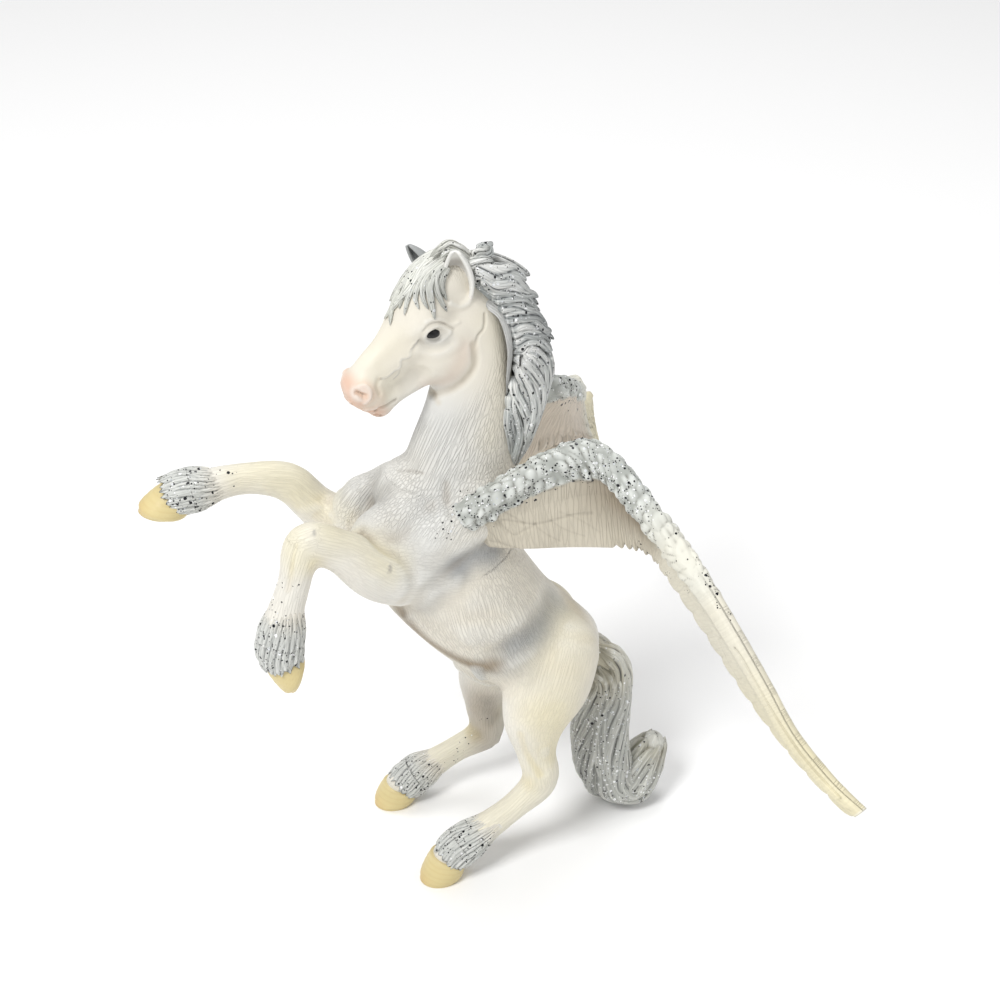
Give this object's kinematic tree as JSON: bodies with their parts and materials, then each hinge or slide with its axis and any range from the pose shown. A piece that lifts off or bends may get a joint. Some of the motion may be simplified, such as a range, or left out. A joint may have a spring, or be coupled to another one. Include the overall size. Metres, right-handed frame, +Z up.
{
  "type": "pegasus figurine",
  "caption": "Rearing winged horse figurine with raised forelegs and half-open feathered wings, standing on its hind hooves and its tail.",
  "frame": {"origin": "on the floor under the middle of the figurine's outline", "axes": "+Z up, the horse faces -X, its left side is -Y, the wings spread along Y"},
  "size_m": [0.1221, 0.167, 0.1493],
  "materials": {
    "painted_plastic": "matt cream paint with grey, blue-grey and silver airbrushing"
  },
  "bodies": {
    "root": {"pegasus": "painted_plastic"}
  },
  "joints": []
}
